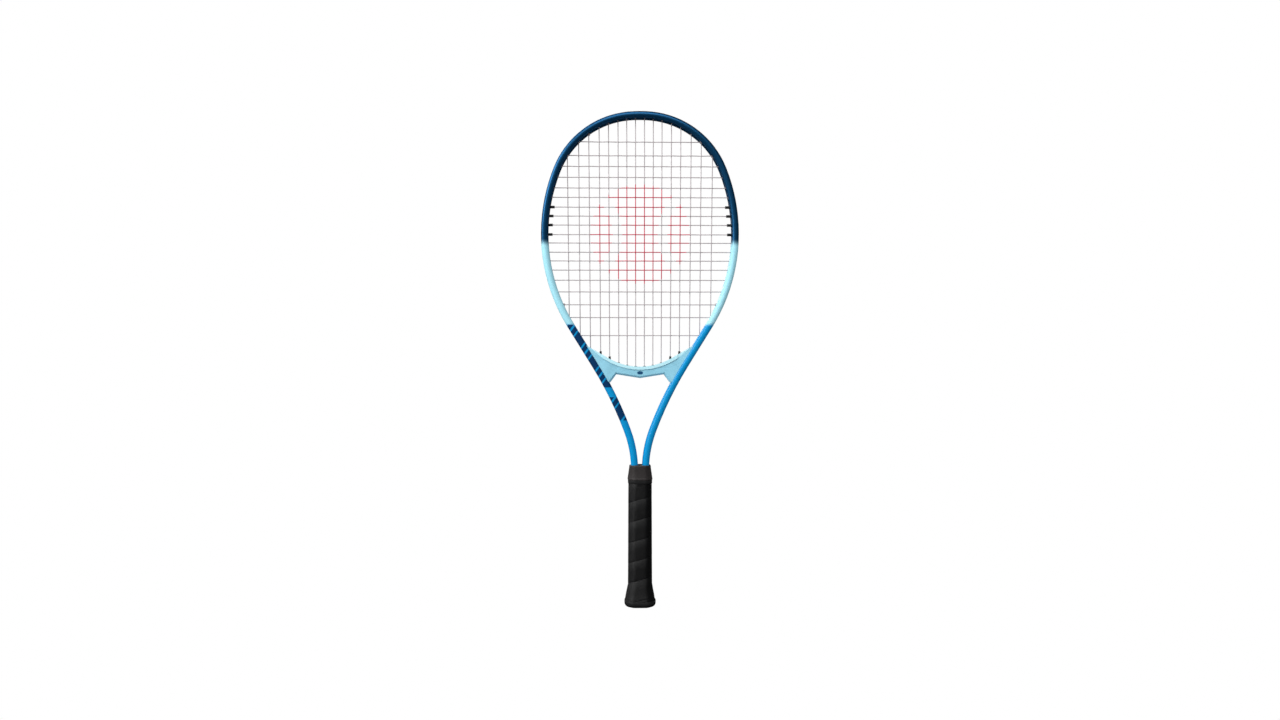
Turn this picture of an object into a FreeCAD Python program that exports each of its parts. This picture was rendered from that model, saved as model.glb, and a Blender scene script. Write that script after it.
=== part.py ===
"""Tennis racket: a bent aluminium tube frame with a moulded throat bridge, woven strings and a gripped handle.

Millimetres. The racket stands upright: +Z runs from the butt towards the head, X runs across the head and
Y through its depth. The origin is the centre of the butt end face.
"""

import FreeCAD, Part
import math
import os

Vector = FreeCAD.Vector
ORIGIN = Vector(0, 0, 0)
DEPTH_AXIS = Vector(0, 1, 0)
UP = Vector(0, 0, 1)

# Frame: centreline of the tube, from the crown down one side
overall_length = 692.0
crown_radius = 244.0
crown_angle = 2.1
shoulder_radius = 120.0
shoulder_angle = 66.2
flank_radius = 244.0
flank_angle = 53.5
throat_radius = 520.0
throat_angle = 11.3
neck_radius = 162.0
shaft_centre_x = 7.6
shaft_end_z = 40.0

# Frame: the tube's section, two round lobes joined by a waist, with a string groove outside
tube_width = 9.8
tube_depth = 21.6
tube_wall = 0.9
waist_recess = 1.8
groove_half_width = 3.4
groove_depth = 2.5
fit_gap = 0.12
slip_gap = 0.05
overcut = 1.0
drill_start = 2.0
drill_past = 6.0

# Strings
string_radius = 0.65
main_half_spread = [6.2, 18.3, 30.3, 43.4, 56.3, 70.6, 84.6, 100.8]
cross_heights = [649.9, 630.8, 615.6, 600.3, 585.4, 572.2, 558.5, 546.0, 533.4, 520.1,
                 508.3, 495.4, 483.2, 470.4, 456.2, 439.9, 421.9, 403.9, 380.0]
fan_height = 514.0
fan_per_mm = 0.02 / 170.0
weave_lift = 0.70
weave_bend_radius = 6.0
fold_radius = 1.4
lane_offset = 0.72
groove_step = 14
settle_steps = 60
least_bend = 0.002
fold_bend = 0.6
run_share = 0.48
above_strings = 700.0
below_strings = 330.0
beside_strings = 160.0
crossing_margin = 0.01
knot_gap = 0.3
knot_turn = 2.05
knot_cord = 1.02
corner_mains = 2
bridge_mains = 5

# Grommets
strip_thickness = 0.9
strip_half_width = 3.1
barrel_radius = 1.55
barrel_bore = 0.95
shared_barrel_radius = 2.3
shared_barrel_bore = 1.65
barrel_tip = 0.7
barrel_setback = 0.4
mouth_flare = 1.0
mouth_depth = 2.0
strip_overhang = 6.0
sleeve_radius = 1.9
sleeve_bore = 0.8
sleeve_reach = 7.1
sleeve_crosses = (6, 7, 8, 9)

# Throat bridge
bridge_top_z = 335.2
bridge_radius = 88.0
bridge_arc_angle = 30.0
bridge_point_z = 319.2
bridge_corner = (33.2, 324.5)
gusset_tip = (41.5, 313.3)
bridge_half_depth = 9.0
bridge_rim_half_depth = 10.0
bridge_rim_height = 4.2
bridge_rim_half_width = 52.0
bridge_roof = 4.0
bridge_channel_half_width = 4.6
bridge_channel_reach = 61.0
bridge_strip_end_gap = 2.0
bridge_strip_half_width = 3.5
bridge_reach = 80.0
bridge_edge_drop = 10.0
gusset_foot = 6.0
underside_chamfer = 2.6
web_lap = 1.0
clear_height = 60.0
bore_length = 20.0
bore_lead = 4.0
roof_bore_lead = 2.0
channel_overrun = 5.0
channel_foot_margin = 4.0
pin_inset = 0.6
shoulder_tip_margin = 4.0
shoulder_tip = 2.6
pin_radius = 1.5
pin_length = 9.0
pin_stations = (0.2, 0.78)

# Handle
cap_lip_z = 9.0
cap_top_z = 38.0
pallet_top_z = 187.0
grip_top_z = 177.0
grip_thickness = 1.6
tape_bottom_z = 172.5
tape_top_z = 185.0
tape_thickness = 0.35
collar_bottom_z = 177.6
collar_top_z = 197.7
collar_top_width = 29.6
collar_throat_width = 18.0
collar_lip = 0.45
handle_aspect = 0.90
bevel_ratio = 0.235
pallet_bottom_width = 30.8
pallet_top_width = 29.8
pallet_tip_width = 28.6
cap_flare = [(38.0, 30.8), (31.0, 31.0), (26.2, 32.2), (20.6, 34.8), (15.0, 37.8), (9.0, 40.5)]
cap_lip_width = 43.8
cap_edge_radius = 6.5
cap_wall = 1.2
cap_floor = 3.5
badge_width = 22.0
badge_thickness = 1.4
badge_setback = 0.3
screw_radius = 1.5
screw_head_radius = 2.8
screw_head_height = 1.6
screw_heights = (75.0, 150.0)
screw_half_length = 10.5
spacer_bottom_z = 50.0
spacer_top_z = 180.0
spacer_half_width = 2.55
spacer_half_depth = 9.0
staple_width = 8.0
staple_leg = 2.6
staple_wire = 0.45
tack_height = 30.0
tack_head_radius = 2.0
tack_head_thickness = 0.6
tack_length = 3.4
tack_radius = 0.6
screw_sink = 0.8
screw_neck_lap = 0.5
pallet_floor_gap = 1.0
pallet_hollow_side = 2.0
pallet_hollow_over = 10.0
staple_proud = 0.35
staple_drop = 4.0
tack_proud = 0.25
grip_inner_ease = 0.02
tape_step_up = 0.1
tape_tip_growth = 0.4
collar_seat_above = 0.5
collar_seat_growth = 0.2
recess_start = -0.1
face_touch = 0.01

half_width = tube_width / 2
lobe_y = tube_depth / 2 - half_width
wall_inside = waist_recess - half_width
groove_floor = half_width - groove_depth
string_seat = groove_floor + strip_thickness + string_radius + slip_gap


# ---------------------------------------------------------------------------------------------------------
# The frame's path


class Stretch:
    """One arc or straight of the tube's centreline, on the +X side, walked from the crown downwards."""

    def __init__(self, start, heading, radius, turn, length):
        self.start = start
        self.heading = heading
        self.radius = radius
        self.turn = turn
        self.length = length
        if turn:
            side = math.copysign(1.0, turn)
            self.centre = start - self.outward(heading) * (radius * side)

    @staticmethod
    def outward(heading):
        """Unit vector to the outside of the hoop where the path runs at this heading below +X."""
        return Vector(math.sin(heading), 0, math.cos(heading))

    def heading_at(self, along):
        return self.heading + (self.turn * along / self.length if self.turn else 0.0)

    def point(self, along, offset=0.0):
        """Point at a distance along the stretch, pushed outwards by offset."""
        heading = self.heading_at(along)
        if self.turn:
            side = math.copysign(1.0, self.turn)
            return self.centre + self.outward(heading) * (self.radius * side + offset)
        forward = Vector(math.cos(heading), 0, -math.sin(heading))
        return self.start + forward * along + self.outward(heading) * offset

    def distance_along(self, point):
        """Distance along the stretch of the path point nearest to a given point."""
        if self.turn:
            side = math.copysign(1.0, self.turn)
            away = (point - self.centre) * side
            heading = math.atan2(away.x, away.z)
            return (heading - self.heading) * side * self.radius
        forward = Vector(math.cos(self.heading), 0, -math.sin(self.heading))
        return (point - self.start).dot(forward)


def frame_path():
    """The five arcs and two straights from the crown to the lower end of one shaft."""
    crown, shoulder, flank, throat = (math.radians(a) for a in
                                      (crown_angle, shoulder_angle, flank_angle, throat_angle))
    steepest = crown + shoulder + flank
    neck = steepest - throat - math.pi / 2
    stretches = []

    def add(radius, turn, length):
        if stretches:
            last = stretches[-1]
            start = last.point(last.length)
            heading = last.heading_at(last.length)
        else:
            start = Vector(0, 0, overall_length - half_width)
            heading = 0.0
        stretches.append(Stretch(start, heading, radius, turn, length))

    add(crown_radius, crown, crown_radius * crown)
    add(shoulder_radius, shoulder, shoulder_radius * shoulder)
    add(flank_radius, flank, flank_radius * flank)
    # The straight is as long as brings the two lower bends to the shaft's line in the handle.
    last = stretches[-1]
    bends_run = (throat_radius * (math.sin(steepest - throat) - math.sin(steepest))
                 + neck_radius * (1.0 - math.sin(steepest - throat)))
    straight = (last.point(last.length).x - shaft_centre_x - bends_run) / -math.cos(steepest)
    add(0.0, 0.0, straight)
    add(throat_radius, -throat, throat_radius * throat)
    add(neck_radius, -neck, neck_radius * neck)
    last = stretches[-1]
    add(0.0, 0.0, last.point(last.length).z - shaft_end_z)
    return stretches


PATH = frame_path()
STARTS = [sum(s.length for s in PATH[:i]) for i in range(len(PATH))]
PATH_LENGTH = sum(s.length for s in PATH)


def path_point(station, offset=0.0):
    """Point of the path at a station, the distance from the crown along the centreline."""
    for stretch, begin in zip(PATH, STARTS):
        if station <= begin + stretch.length:
            return stretch.point(station - begin, offset)
    return PATH[-1].point(PATH[-1].length, offset)


def path_outward(station):
    """Unit vector to the outside of the hoop at a station."""
    return path_point(station, 1.0) - path_point(station)


def station_of(point):
    """Station of the path point nearest to a given point."""
    best = None
    for stretch, begin in zip(PATH, STARTS):
        along = min(max(stretch.distance_along(point), 0.0), stretch.length)
        gap = (stretch.point(along) - point).Length
        if best is None or gap < best[0]:
            best = (gap, begin + along)
    return best[1]


def meet(start, end, offset):
    """Where the line from start to end meets the path offset by a distance, on the +X side."""
    low, high = 0.0, 1.0
    for _ in range(settle_steps):
        middle = (low + high) / 2
        point = start + (end - start) * middle
        station = station_of(point)
        outside = (point - path_point(station, offset)).dot(path_outward(station)) > 0
        if outside:
            high = middle
        else:
            low = middle
    return start + (end - start) * low


def sweep(section, first, last):
    """Solid that carries a section along the path between two stations.

    section is given a function that turns (outwards, depth) into a point, and returns a face.
    """
    solids = []
    for stretch, begin in zip(PATH, STARTS):
        low = max(first, begin) - begin
        high = min(last, begin + stretch.length) - begin
        if high - low < 1e-6:
            continue
        foot = stretch.point(low)
        out = stretch.outward(stretch.heading_at(low))
        face = section(lambda u, v: foot + out * u + DEPTH_AXIS * v)
        if stretch.turn:
            side = math.copysign(1.0, stretch.turn)
            angle = math.degrees(abs(stretch.turn)) * (high - low) / stretch.length
            solids.append(face.revolve(stretch.centre, DEPTH_AXIS * side, angle))
        else:
            solids.append(face.extrude(stretch.point(high) - foot))
    return solids[0].multiFuse(solids[1:]) if len(solids) > 1 else solids[0]


def mirrored(shape):
    return shape.mirror(ORIGIN, Vector(1, 0, 0))


def single_solid(shape):
    """The one solid of a boolean's result; anything else is an error in the model."""
    solids = shape.Solids
    if len(solids) != 1:
        raise ValueError("expected one solid, found %d" % len(solids))
    return solids[0]


def largest(shape):
    """The main solid of a boolean's result, without the loose slivers that it may leave."""
    return max(shape.Solids, key=lambda solid: solid.Volume)


def face_of(points):
    """Flat face inside a closed polygon."""
    return Part.Face(Part.makePolygon(points + [points[0]]))


# ---------------------------------------------------------------------------------------------------------
# Frame tube


def tube_face(place, inset):
    """The tube's outline, shrunk by inset: two lobes, the inner waist and the outer string groove."""
    lobe = half_width - inset
    waist = ((half_width ** 2 - lobe_y ** 2 - wall_inside ** 2) / (2 * (-wall_inside - half_width)))
    waist_centre = wall_inside - waist
    reach = math.hypot(waist_centre, lobe_y)
    touch = (waist_centre / reach * lobe, -lobe_y + lobe_y / reach * lobe)
    wall_v = groove_half_width + inset
    wall_u = math.sqrt(lobe ** 2 - (lobe_y - wall_v) ** 2)
    floor = groove_floor - inset
    front = Part.Arc(place(*touch), place(0, -lobe_y - lobe), place(wall_u, -wall_v))
    rear = Part.Arc(place(wall_u, wall_v), place(0, lobe_y + lobe), place(touch[0], -touch[1]))
    inner = Part.Arc(place(touch[0], -touch[1]), place(wall_inside + inset, 0), place(*touch))
    edges = [front.toShape(),
             Part.makeLine(place(wall_u, -wall_v), place(floor, -wall_v)),
             Part.makeLine(place(floor, -wall_v), place(floor, wall_v)),
             Part.makeLine(place(floor, wall_v), place(wall_u, wall_v)),
             rear.toShape(),
             inner.toShape()]
    return Part.Face(Part.Wire(edges))


def tube_envelope(first, last, gap):
    """The tube as a filled body, a gap larger all round, to cut its neighbours with."""
    return sweep(lambda place: tube_face(place, -gap), first, last)


def make_frame_tube(holes):
    """The one bent tube, drilled through its waist for every grommet barrel and bridge pin."""

    def ring(place):
        return tube_face(place, 0).cut(tube_face(place, tube_wall)).Faces[0]

    half = sweep(ring, 0, PATH_LENGTH)
    tube = half.fuse(mirrored(half))
    return single_solid(tube.cut(Part.makeCompound(holes)).removeSplitter())


# ---------------------------------------------------------------------------------------------------------
# String layout


def main_x(index, z):
    """X of a main string of the +X half at height z: the mains close up a little towards the throat."""
    return main_half_spread[index] * (1.0 + fan_per_mm * (z - fan_height))


def bridge_curve(x, drop):
    """Point of the bridge's top edge on the string line at x, moved down into the bridge by drop."""
    angle = math.radians(bridge_arc_angle)
    radius = bridge_radius + drop
    centre_z = bridge_top_z + bridge_radius
    bend_x = radius * math.sin(angle)
    if abs(x) <= bend_x:
        return Vector(x, 0, centre_z - math.sqrt(radius ** 2 - x ** 2))
    return Vector(x, 0, centre_z - radius * math.cos(angle) + (abs(x) - bend_x) * math.tan(angle))


class Anchor:
    """One end of a string run: inside point, seat on the outside and the lane it takes in its hole."""

    def __init__(self, inside, seat, lane, shared):
        self.inside = inside
        self.seat = seat
        self.lane = lane
        self.shared = shared

    def mirrored(self):
        def flip(p):
            return Vector(-p.x, p.y, p.z)
        return Anchor(flip(self.inside), flip(self.seat), self.lane, self.shared)


def straight_anchor(inner, outer, lane, shared):
    """Hole in line with its string, through the tube."""
    return Anchor(meet(inner, outer, wall_inside - barrel_tip), meet(inner, outer, string_seat),
                  lane, shared)


def corner_anchor(station, lane):
    """Hole square to the tube, shared by a main and a cross string."""
    return Anchor(path_point(station, wall_inside - barrel_tip), path_point(station, string_seat),
                  lane, True)


def corner_station(main, cross, upper):
    """Station halfway between the points where a main and a cross would meet the inner wall."""
    far_z = above_strings if upper else below_strings
    on_main = meet(Vector(main_x(main, fan_height), 0, fan_height),
                   Vector(main_x(main, far_z), 0, far_z), wall_inside)
    z = cross_heights[cross]
    on_cross = meet(Vector(0, 0, z), Vector(beside_strings, 0, z), wall_inside)
    return (station_of(on_main) + station_of(on_cross)) / 2


def layout():
    """Anchors of the +X half: upper and lower ends of its eight mains, right ends of the crosses."""
    count = len(main_half_spread)
    corners = count - corner_mains
    last_cross = len(cross_heights) - 1
    upper, lower, right = [], [], [None] * len(cross_heights)
    for main in range(count):
        middle = Vector(main_x(main, fan_height), 0, fan_height)
        top = Vector(main_x(main, above_strings), 0, above_strings)
        bottom = Vector(main_x(main, below_strings), 0, below_strings)
        tied = main == corners - 1
        lane = lane_offset if main >= corners - 1 else 0.0
        if main >= corners:
            first = main - corners
            station = corner_station(main, first, True)
            upper.append(corner_anchor(station, lane))
            right[first] = corner_anchor(station, -lane)
            low = last_cross - first
            station = corner_station(main, low, False)
            lower.append(corner_anchor(station, lane))
            right[low] = corner_anchor(station, -lane)
        elif main < bridge_mains:
            x = main_x(main, bridge_top_z)
            upper.append(straight_anchor(middle, top, lane, False))
            lower.append(Anchor(bridge_curve(x, -barrel_tip),
                                bridge_curve(x, bridge_roof + strip_thickness + string_radius + slip_gap),
                                lane, False))
        else:
            upper.append(straight_anchor(middle, top, lane, tied))
            lower.append(straight_anchor(middle, bottom, lane, tied))
    for cross, z in enumerate(cross_heights):
        if right[cross] is None:
            tied = cross == last_cross - corner_mains
            lane = -lane_offset if tied else 0.0
            right[cross] = straight_anchor(Vector(0, 0, z), Vector(160, 0, z), lane, tied)
    return upper, lower, right


UPPER, LOWER, RIGHT = layout()
MAIN_TOPS = [a.mirrored() for a in reversed(UPPER)] + UPPER
MAIN_BOTTOMS = [a.mirrored() for a in reversed(LOWER)] + LOWER
CROSS_LEFTS = [a.mirrored() for a in RIGHT]


def crossing(a, b, c, d):
    """Fractions along a-b and c-d at which two lines of the string plane meet."""
    first = b - a
    second = d - c
    bottom = first.x * second.z - first.z * second.x
    gap = c - a
    return ((gap.x * second.z - gap.z * second.x) / bottom,
            (gap.x * first.z - gap.z * first.x) / bottom)


def weave(start, end, others, parity, side):
    """Points of one run where it passes over or under the strings that it crosses."""
    points = []
    for number, (a, b) in enumerate(others):
        here, there = crossing(start.inside, end.inside, a.inside, b.inside)
        if all(crossing_margin < share < 1 - crossing_margin for share in (here, there)):
            point = start.inside + (end.inside - start.inside) * here
            lift = weave_lift * side * (-1) ** (number + parity)
            points.append((here, Vector(point.x, lift, point.z)))
    return [point for _, point in sorted(points, key=lambda entry: entry[0])]


def in_lane(point, lane):
    return Vector(point.x, lane, point.z)


def run_points(start, end, others, parity, side):
    """Route of one run from seat to seat."""
    return ([in_lane(start.seat, start.lane), in_lane(start.inside, start.lane)]
            + weave(start, end, others, parity, side)
            + [in_lane(end.inside, end.lane), in_lane(end.seat, end.lane)])


def along_groove(start, end, lane):
    """Points between two seats that keep a long loop down in the tube's groove."""
    mirror_side = -1.0 if start.seat.x + end.seat.x < 0 else 1.0
    first, last = (station_of(Vector(abs(a.seat.x), 0, a.seat.z)) for a in (start, end))
    steps = int(abs(last - first) // groove_step)
    points = []
    for step in range(1, steps + 1):
        point = path_point(first + (last - first) * step / (steps + 1), string_seat)
        points.append(Vector(point.x * mirror_side, lane, point.z))
    return points


def main_route():
    """The whole main string: up the first run, over, down the next, and so on, with both tied ends."""
    crosses = list(zip(CROSS_LEFTS, RIGHT))
    tie = len(cross_heights) - 1 - corner_mains
    points = tail_points(CROSS_LEFTS[tie], MAIN_BOTTOMS[0], lane_offset)
    for number in range(len(MAIN_TOPS)):
        ends = [MAIN_BOTTOMS[number], MAIN_TOPS[number]]
        if number % 2:
            ends.reverse()
        if number and abs(ends[0].seat.x) > bridge_channel_reach:
            previous = MAIN_TOPS[number - 1] if number % 2 else MAIN_BOTTOMS[number - 1]
            points += along_groove(previous, ends[0], lane_offset)
        points += run_points(ends[0], ends[1], crosses, number, 1)
    return points + tail_points(RIGHT[tie], MAIN_BOTTOMS[-1], lane_offset)[::-1]


def cross_route():
    """The whole cross string, zigzagging from the top cross to the bottom one, with both tied ends."""
    mains = list(zip(MAIN_BOTTOMS, MAIN_TOPS))
    tied_main = len(main_half_spread) - 1 - corner_mains
    points = tail_points(UPPER[tied_main].mirrored(), CROSS_LEFTS[0], -lane_offset)
    previous = None
    for number in range(len(cross_heights)):
        ends = [CROSS_LEFTS[number], RIGHT[number]]
        if number % 2:
            ends.reverse()
        if previous:
            points += along_groove(previous, ends[0], (previous.lane + ends[0].lane) / 2)
        points += run_points(ends[0], ends[1], mains, number, -1)
        previous = ends[1]
    return points + tail_points(LOWER[tied_main], RIGHT[-1], -lane_offset)[::-1]


def tail_points(tie_hole, from_hole, lane):
    """Tied end of a string: from its knot inside the hoop out through the tie hole and along the groove."""
    return ([in_lane(tie_hole.inside, lane), in_lane(tie_hole.seat, lane)]
            + along_groove(tie_hole, from_hole, lane))


def rounded_wire(points):
    """Wire of straight runs joined by tangent arcs, tight at the folds and gentle in the weave."""
    edges = []
    last = points[0]
    for before, corner, after in zip(points, points[1:], points[2:]):
        incoming = (corner - before).normalize()
        outgoing = (after - corner).normalize()
        turn = incoming.getAngle(outgoing)
        if turn < least_bend:
            continue
        shorter = min((corner - before).Length, (after - corner).Length)
        wanted = weave_bend_radius if turn < fold_bend else fold_radius
        setback = min(wanted * math.tan(turn / 2), run_share * shorter)
        radius = setback / math.tan(turn / 2)
        begin = corner - incoming * setback
        end = corner + outgoing * setback
        towards_centre = (outgoing - incoming).normalize()
        middle = corner + towards_centre * (radius / math.cos(turn / 2) - radius)
        edges.append(Part.makeLine(last, begin))
        edges.append(Part.Arc(begin, middle, end).toShape())
        last = end
    edges.append(Part.makeLine(last, points[-1]))
    return Part.Wire(edges)


def make_string(points):
    """One length of string along its whole route."""
    wire = rounded_wire(points)
    start = points[0]
    profile = Part.Wire(Part.makeCircle(string_radius, start, points[1] - start))
    string = wire.makePipeShell([profile], True, False)
    expected = math.pi * string_radius ** 2 * wire.Length
    print("string length %.0f mm, volume ratio %.4f" % (wire.Length, string.Volume / expected))
    return single_solid(string)


def knot(hole, towards):
    """Two snug turns of string round the run that leaves a tie-off hole towards its first crossing."""
    foot = in_lane(hole.inside, hole.lane)
    axis = (towards - foot).normalize()
    turns = []
    for away in (knot_gap + string_radius, knot_gap + 3 * string_radius):
        centre = foot + axis * away
        turns.append(Part.makeTorus(knot_turn * string_radius, knot_cord * string_radius, centre, axis))
    return single_solid(turns[0].fuse(turns[1]))


def make_string_knots():
    """The four tie-off knots, just inside the hoop."""
    tie = len(cross_heights) - 1 - corner_mains
    tied_cross = weave(CROSS_LEFTS[tie], RIGHT[tie], list(zip(MAIN_BOTTOMS, MAIN_TOPS)), tie, -1)
    crosses = list(zip(CROSS_LEFTS, RIGHT))
    first = corner_mains
    last = len(MAIN_TOPS) - 1 - corner_mains
    upper = weave(MAIN_BOTTOMS[first], MAIN_TOPS[first], crosses, first, 1)
    lower = weave(MAIN_BOTTOMS[last], MAIN_TOPS[last], crosses, last, 1)
    return Part.makeCompound([knot(CROSS_LEFTS[tie], tied_cross[0]), knot(RIGHT[tie], tied_cross[-1]),
                              knot(MAIN_TOPS[first], upper[-1]), knot(MAIN_BOTTOMS[last], lower[0])])


# ---------------------------------------------------------------------------------------------------------
# Grommets


def barrel(anchor, tip, outer):
    """Outer body or bore of a grommet barrel."""
    inward = (anchor.inside - anchor.seat).normalize()
    if outer:
        radius = shared_barrel_radius if anchor.shared else barrel_radius
        begin = anchor.seat + inward * (string_radius + barrel_setback)
        length = (anchor.inside - begin).Length + tip
    else:
        radius = shared_barrel_bore if anchor.shared else barrel_bore
        begin = anchor.seat
        length = (anchor.inside - begin).Length + tip + overcut
    return Part.makeCylinder(radius, length, begin, inward)


def eased_mouth(anchor):
    """Countersink that eases the string's fold where it leaves a barrel."""
    bore = shared_barrel_bore if anchor.shared else barrel_bore
    inward = (anchor.inside - anchor.seat).normalize()
    return Part.makeCone(bore + mouth_flare, bore, mouth_depth, anchor.seat, inward)


def drilled_hole(anchor):
    """Hole in the tube for one barrel."""
    radius = (shared_barrel_radius if anchor.shared else barrel_radius) + fit_gap
    inward = (anchor.inside - anchor.seat).normalize()
    begin = anchor.seat - inward * drill_start
    return Part.makeCylinder(radius, (anchor.inside - begin).Length + drill_past, begin, inward)


def strip_face(place):
    """Section of the strip that lies in the tube's groove."""
    low, high = groove_floor, groove_floor + strip_thickness
    return face_of([place(low, -strip_half_width), place(high, -strip_half_width),
                    place(high, strip_half_width), place(low, strip_half_width)])


def with_barrels(strip, anchors):
    """A strip with its barrels, bored for the strings and eased at the mouths."""
    bodies = [barrel(a, 0.0, True) for a in anchors]
    cuts = [barrel(a, 0.0, False) for a in anchors]
    cuts += [eased_mouth(a) for a in anchors]
    return largest(strip.multiFuse(bodies).cut(Part.makeCompound(cuts)))


def span(anchors):
    """First and last station of a strip that holds these anchors."""
    stations = [station_of(Vector(abs(a.seat.x), 0, a.seat.z)) for a in anchors]
    return min(stations) - strip_overhang, max(stations) + strip_overhang


def make_head_guard():
    """Guard strip over the crown with the barrels of every upper main."""
    half = with_barrels(sweep(strip_face, 0, span(UPPER)[1]), UPPER)
    return single_solid(half.fuse(mirrored(half)))


def strip_for(anchors):
    first, last = span(anchors)
    return with_barrels(sweep(strip_face, first, last), anchors)


def make_bridge_strip():
    """Grommet strip on the roof of the bridge's channel, its barrels standing up through the roof."""
    anchors = MAIN_BOTTOMS[len(main_half_spread) - bridge_mains:len(main_half_spread) + bridge_mains]
    reach = bridge_channel_reach - bridge_strip_end_gap
    band = bridge_outline(reach, bridge_roof, bridge_roof + strip_thickness)
    strip = extrude_depth(band, bridge_strip_half_width)
    bodies = []
    for a in anchors:
        inward = (a.inside - a.seat).normalize()
        arc_end_x = bridge_radius * math.sin(math.radians(bridge_arc_angle))
        at_shoulder = abs(a.seat.x) > arc_end_x - shoulder_tip_margin
        tip = shoulder_tip if at_shoulder else 0.0
        begin = a.seat + inward * (string_radius + barrel_setback)
        bodies.append(Part.makeCylinder(barrel_radius, (a.inside - begin).Length + tip, begin, inward))
    cuts = [Part.makeCylinder(barrel_bore, bore_length, a.seat - UP * bore_lead, UP) for a in anchors]
    cuts += [eased_mouth(a) for a in anchors]
    return largest(strip.multiFuse(bodies).cut(Part.makeCompound(cuts)))


def make_sleeves(anchors):
    """Soft shock sleeves on four crosses, from the inner wall out along the string."""
    sleeves = []
    for cross in sleeve_crosses:
        a = anchors[cross]
        inward = (a.inside - a.seat).normalize()
        body = Part.makeCylinder(sleeve_radius, sleeve_reach, a.inside + inward * slip_gap, inward)
        bore = Part.makeCylinder(sleeve_bore, sleeve_reach + overcut, a.inside, inward)
        sleeves.append(body.cut(bore).Solids[0])
    return Part.makeCompound(sleeves)


# ---------------------------------------------------------------------------------------------------------
# Throat bridge


def bridge_outline(reach, upper_drop, lower_drop):
    """Band that follows the bridge's top edge between two depths below it, out to +-reach."""
    def edge_run(drop):
        bend_x = (bridge_radius + drop) * math.sin(math.radians(bridge_arc_angle))
        left, right = bridge_curve(-bend_x, drop), bridge_curve(bend_x, drop)
        return [Part.makeLine(bridge_curve(-reach, drop), left),
                Part.Arc(left, bridge_curve(0, drop), right).toShape(),
                Part.makeLine(right, bridge_curve(reach, drop))]
    ends = [Part.makeLine(bridge_curve(side * reach, upper_drop), bridge_curve(side * reach, lower_drop))
            for side in (-1, 1)]
    return Part.Face(Part.Wire(Part.__sortEdges__(edge_run(upper_drop) + edge_run(lower_drop) + ends)))


def extrude_depth(face, half_depth):
    """Flat face of the string plane given a depth, equal to both sides."""
    solid = face.extrude(DEPTH_AXIS * (2 * half_depth))
    solid.translate(DEPTH_AXIS * -half_depth)
    return solid


def make_throat_yoke():
    """Moulded bridge with gusset wings that cup the tubes, a rim, and a string channel below."""
    corner_x, corner_z = bridge_corner
    tip_x, tip_z = gusset_tip
    reach = bridge_reach
    top = bridge_outline(reach, 0.0, bridge_edge_drop)
    outer_z = bridge_curve(reach, bridge_edge_drop).z
    lower = [Vector(-reach, 0, outer_z), bridge_curve(-reach, web_lap), bridge_curve(0, web_lap),
             bridge_curve(reach, web_lap), Vector(reach, 0, outer_z), Vector(tip_x + gusset_foot, 0, tip_z),
             Vector(tip_x, 0, tip_z), Vector(corner_x, 0, corner_z), Vector(0, 0, bridge_point_z),
             Vector(-corner_x, 0, corner_z), Vector(-tip_x, 0, tip_z), Vector(-tip_x - gusset_foot, 0, tip_z)]
    web = extrude_depth(face_of(lower), bridge_half_depth)
    web = web.makeChamfer(underside_chamfer, underside_edges(web))
    body = extrude_depth(top, bridge_half_depth).fuse(web)
    body = body.fuse(extrude_depth(bridge_outline(bridge_rim_half_width, 0.0, bridge_rim_height),
                                   bridge_rim_half_depth))
    above = [bridge_curve(-reach, 0.0), bridge_curve(-reach, 0.0) + UP * clear_height,
             bridge_curve(reach, 0.0) + UP * clear_height, bridge_curve(reach, 0.0)]
    body = body.cut(extrude_depth(upper_waste(above), bridge_rim_half_depth + 1))
    channel = [bridge_curve(x, bridge_roof) for x in (-bridge_channel_reach, bridge_channel_reach)]
    pocket = channel_face(channel)
    body = body.cut(extrude_depth(pocket, bridge_channel_half_width))
    envelope = tube_envelope(STARTS[2], STARTS[5], fit_gap)
    body = largest(body.cut(envelope).cut(mirrored(envelope)))
    holes = [Part.makeCylinder(barrel_radius + fit_gap, bore_length, a.seat - UP * roof_bore_lead, UP)
             for a in MAIN_BOTTOMS[len(main_half_spread) - bridge_mains:len(main_half_spread) + bridge_mains]]
    holes += [pin_body(station, side, fit_gap) for station in pin_places() for side in (-1, 1)]
    tied = [drilled_hole(a) for a in (LOWER[bridge_mains], LOWER[bridge_mains].mirrored())]
    return single_solid(body.cut(Part.makeCompound(holes + tied)).removeSplitter())


def underside_edges(web):
    """Front and back edges of the bridge's underside, from one gusset tip to the other."""
    edges = []
    for edge in web.Edges:
        middle = edge.CenterOfMass
        if abs(middle.y) > bridge_half_depth - overcut and abs(middle.x) < gusset_tip[0]:
            if middle.z < bridge_corner[1]:
                edges.append(edge)
    return edges


def upper_waste(corners):
    """Everything above the bridge's top edge."""
    reach = corners[-1].x
    bend_x = bridge_radius * math.sin(math.radians(bridge_arc_angle))
    left, right = bridge_curve(-bend_x, 0), bridge_curve(bend_x, 0)
    edges = [Part.makeLine(bridge_curve(-reach, 0), left),
             Part.Arc(left, bridge_curve(0, 0), right).toShape(),
             Part.makeLine(right, bridge_curve(reach, 0)),
             Part.makeLine(corners[3], corners[2]),
             Part.makeLine(corners[2], corners[1]),
             Part.makeLine(corners[1], corners[0])]
    return Part.Face(Part.Wire(edges))


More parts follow.
